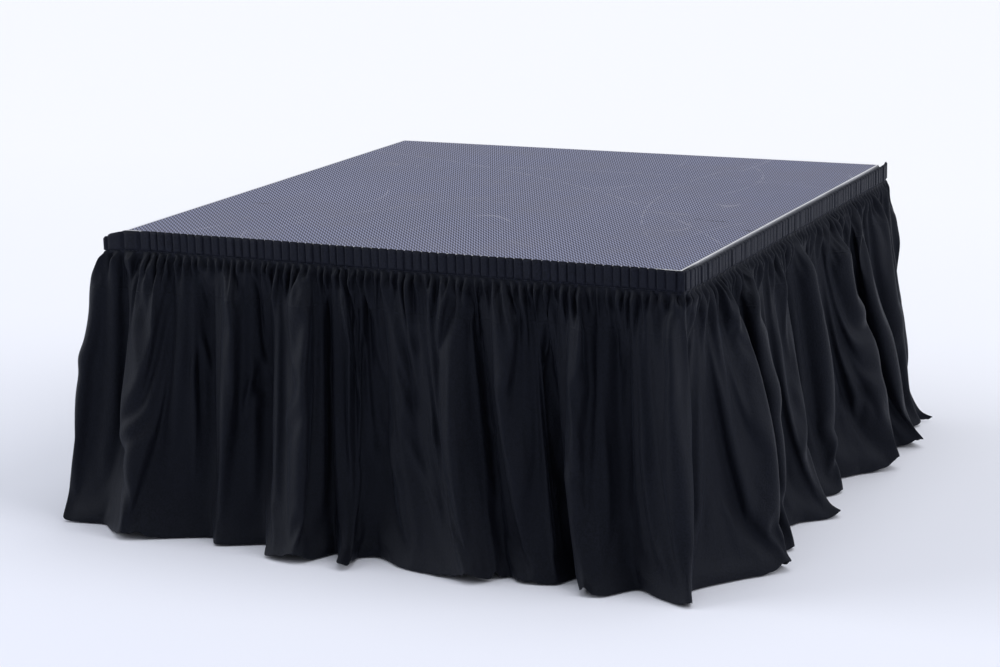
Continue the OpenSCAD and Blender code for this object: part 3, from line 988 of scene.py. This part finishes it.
def crumple(points, drops, u, rng):
    """Adds soft slanting wrinkles: a low crease with a hollow beside it, at random places on the cloth."""
    out = normals_of(points)
    height = np.zeros(points.shape[:2])
    for _ in range(WRINKLES):
        at = rng.uniform(0, u[-1])
        down = rng.uniform(*WRINKLE_DOWN)
        slant = rng.uniform(-WRINKLE_SLANT, WRINKLE_SLANT)
        long = rng.uniform(*WRINKLE_LONG)
        wide = rng.uniform(*WRINKLE_WIDE)
        tall = rng.uniform(*WRINKLE_TALL)
        near = np.abs(u - at) < WRINKLE_REACH
        du, dv = (u[near] - at)[None, :], (drops - down)[:, None]
        along = (dv * math.cos(slant) + du * math.sin(slant)) / long
        beside = (du * math.cos(slant) - dv * math.sin(slant)) / wide
        ridge = np.exp(-beside ** 2) - 0.6 * np.exp(-(beside - 1.7) ** 2)
        height[:, near] += tall * ridge * np.exp(-along ** 2)
    points += out * height[:, :, None]


def hang(points, drops, s):
    """Sets the heights so that each column keeps its length, and none goes below the floor."""
    across = np.hypot(*np.moveaxis(np.diff(points[:, :, :2], axis=0), 2, 0))
    steps = np.diff(drops)[:, None]
    falls = np.sqrt(np.maximum(steps ** 2 - across ** 2, (0.5 * steps) ** 2))
    fallen = np.concatenate([np.zeros((1, falls.shape[1])), np.cumsum(falls, axis=0)])
    top = HEADER_FOOT + header_rise(s) * foot_share(HEADER_TALL * MM) + TUCKED
    room = top - HEM_CLEAR
    points[:, :, 2] = top - fallen * np.minimum(1, room / fallen[-1])


# The simulation's length, how strongly the hem and the rest keep to where they were laid, and the fabric
FRAMES = 16
HEM_HOLD = 0.30
SHAPE_HOLD = 0.07
CLOTH_BEHAVIOUR = {
    "quality": 5,
    "mass": 0.12,
    "air_damping": 2.0,
    "tension_stiffness": 20,
    "compression_stiffness": 12,
    "shear_stiffness": 4,
    "bending_stiffness": 0.6,
    "tension_damping": 8,
    "compression_damping": 8,
    "shear_damping": 6,
    "bending_damping": 0.5,
    "pin_stiffness": 3.0,
}


def hold_group(cloth, columns):
    """Pins the first two rows, and holds the rest softly where it was laid, the hem most."""
    group = cloth.vertex_groups.new(name="held")
    width = columns + 1
    for row in range(ROWS + 1):
        weight = 1.0 if row < 2 else HEM_HOLD if row == ROWS else SHAPE_HOLD
        group.add(list(range(row * width, (row + 1) * width)), weight, "REPLACE")
    return group.name


def collider(name, verts, faces):
    """A solid that the cloth falls against."""
    mesh = bpy.data.meshes.new(name)
    mesh.from_pydata(verts, [], faces)
    solid = bpy.data.objects.new(name, mesh)
    bpy.context.scene.collection.objects.link(solid)
    solid.modifiers.new("Collision", "COLLISION")
    solid.collision.thickness_outer = 2 * MM
    solid.collision.cloth_friction = 60
    return solid


def box_points(half, low, high):
    """Corners of a square box round the middle, the low ones first."""
    return [(x * half, y * half, z) for z in (low, high) for x, y in ((-1, -1), (1, -1), (1, 1), (-1, 1))]


BOX_FACES = [(0, 3, 2, 1), (4, 5, 6, 7), (0, 1, 5, 4), (1, 2, 6, 5), (2, 3, 7, 6), (3, 0, 4, 7)]


def settle(points, flat):
    """Lets the hung cloth fall against the floor and the frame, keeping its flat lengths."""
    columns = points.shape[1] - 1
    cloth = grid_piece("cloth_to_settle", points, None)
    cloth.shape_key_add(name="Basis")
    rest = cloth.shape_key_add(name="Flat")
    rest.data.foreach_set("co", flat.reshape(-1).astype(np.float32))
    rest.value = 0
    modifier = cloth.modifiers.new("Cloth", "CLOTH")
    settings = modifier.settings
    for behaviour, value in CLOTH_BEHAVIOUR.items():
        setattr(settings, behaviour, value)
    settings.vertex_group_mass = hold_group(cloth, columns)
    settings.rest_shape_key = rest
    modifier.collision_settings.distance_min = 2 * MM
    modifier.collision_settings.use_self_collision = False
    modifier.point_cache.frame_start = 1
    modifier.point_cache.frame_end = FRAMES
    floor = collider("floor_to_settle", [(-2, -2, 0), (2, -2, 0), (2, 2, 0), (-2, 2, 0)], [(0, 1, 2, 3)])
    frame_box = collider("frame_to_settle", box_points(HALF + MM, RAIL_FOOT, DECK_TOP), BOX_FACES)
    for step in range(1, FRAMES + 1):
        bpy.context.scene.frame_set(step)
    fallen = cloth.evaluated_get(bpy.context.evaluated_depsgraph_get())
    settled = np.zeros(points.size, np.float32)
    fallen.data.vertices.foreach_get("co", settled)
    bpy.context.scene.frame_set(1)
    for used in (cloth, floor, frame_box):
        bpy.data.objects.remove(used)
    return settled.reshape(points.shape).astype(float)


# How far the cloth may reach past the rails, its lowest height, and its turned hem
ROOM_OUT = 171 * MM
OFF_FLOOR = 1.5 * MM
HEM_THICK = 1.6 * MM
HEM_FOOT = 0.8 * MM
SOFTENED = 0.8


def keep_in_room(points):
    """Keeps the cloth off the floor, and inside the room that it may reach past the rails."""
    reach = HALF + ROOM_OUT
    points[:, :, :2] = np.clip(points[:, :, :2], -reach, reach)
    points[:, :, 2] = np.maximum(points[:, :, 2], OFF_FLOOR)
    return points


def soften(points):
    """Takes out the creases that are narrower than this cloth can bend, below the gathers."""
    for drop, row in zip(row_drops(), points):
        part = SOFTENED * eased(drop, 0.05, 0.14)
        for axis in range(3):
            row[:, axis] += (smooth(row[:, axis], 1) - row[:, axis]) * part
    return points


def normals_of(points):
    """Outward directions of a grid of points."""
    across = np.gradient(points, axis=1)
    down = np.gradient(points, axis=0)
    normal = np.cross(down, across)
    return normal / (np.linalg.norm(normal, axis=2, keepdims=True) + 1e-9)


def turn_hem(points):
    """Adds the hem that is folded up behind: a rounded lower edge and a second layer two rows high."""
    out = normals_of(points)
    edge = points[-1] - out[-1] * HEM_THICK / 2
    edge[:, 2] = np.maximum(edge[:, 2] - 0.6 * MM, HEM_FOOT)
    first = points[-1] - out[-1] * HEM_THICK
    first[:, 2] += 0.4 * MM
    behind = [points[-k] - out[-k] * HEM_THICK for k in (2, 3)]
    return np.concatenate([points, [edge, first, *behind]])


def subdivide(piece):
    """Rounds a piece by one level of subdivision, and leaves it without a modifier."""
    modifier = piece.modifiers.new("Subdivision", "SUBSURF")
    modifier.levels = 1
    modifier.render_levels = 1
    bpy.context.view_layer.update()
    fine = bpy.data.meshes.new_from_object(piece.evaluated_get(bpy.context.evaluated_depsgraph_get()))
    piece.modifiers.clear()
    coarse = piece.data
    piece.data = fine
    fine.name = coarse.name
    bpy.data.meshes.remove(coarse)


def make_skirt(rng, finish):
    points, flat = loft(rng)
    points = settle(points, flat)
    points = turn_hem(keep_in_room(soften(points)))
    cuts = cloth_cuts(points)
    for k, (start, end) in enumerate(zip(cuts, cuts[1:])):
        side = SIDES[ORDER[k]]
        piece = grid_piece(f"skirt_cloth_{side}", points[:, start:end + 1], finish)
        subdivide(piece)
        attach(piece, "deck")
        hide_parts(f"skirt_{side}")


def cloth_cuts(points):
    """Columns whose top is nearest to each corner that the cloth turns."""
    corners = [to_world(side, HALF / MM, 0) for side in ORDER[:3]]
    top = points[0, :, :2]
    cuts = [int(np.argmin(np.hypot(top[:, 0] - x, top[:, 1] - y))) for x, y in corners]
    return [0, *cuts, points.shape[1] - 1]


# ---------------------------------------------------------------- the scene

make_camera()
light_studio()
make_floor()
finish_cad_nodes()
rng = random.Random(17)
thread = sewing_thread()
headers = make_header(rng, skirt_cloth("header_polyester", depth=0.6, tone=1.9))
stitches = make_header_stitches(thread)
make_skirt(rng, skirt_cloth("skirt_polyester"))
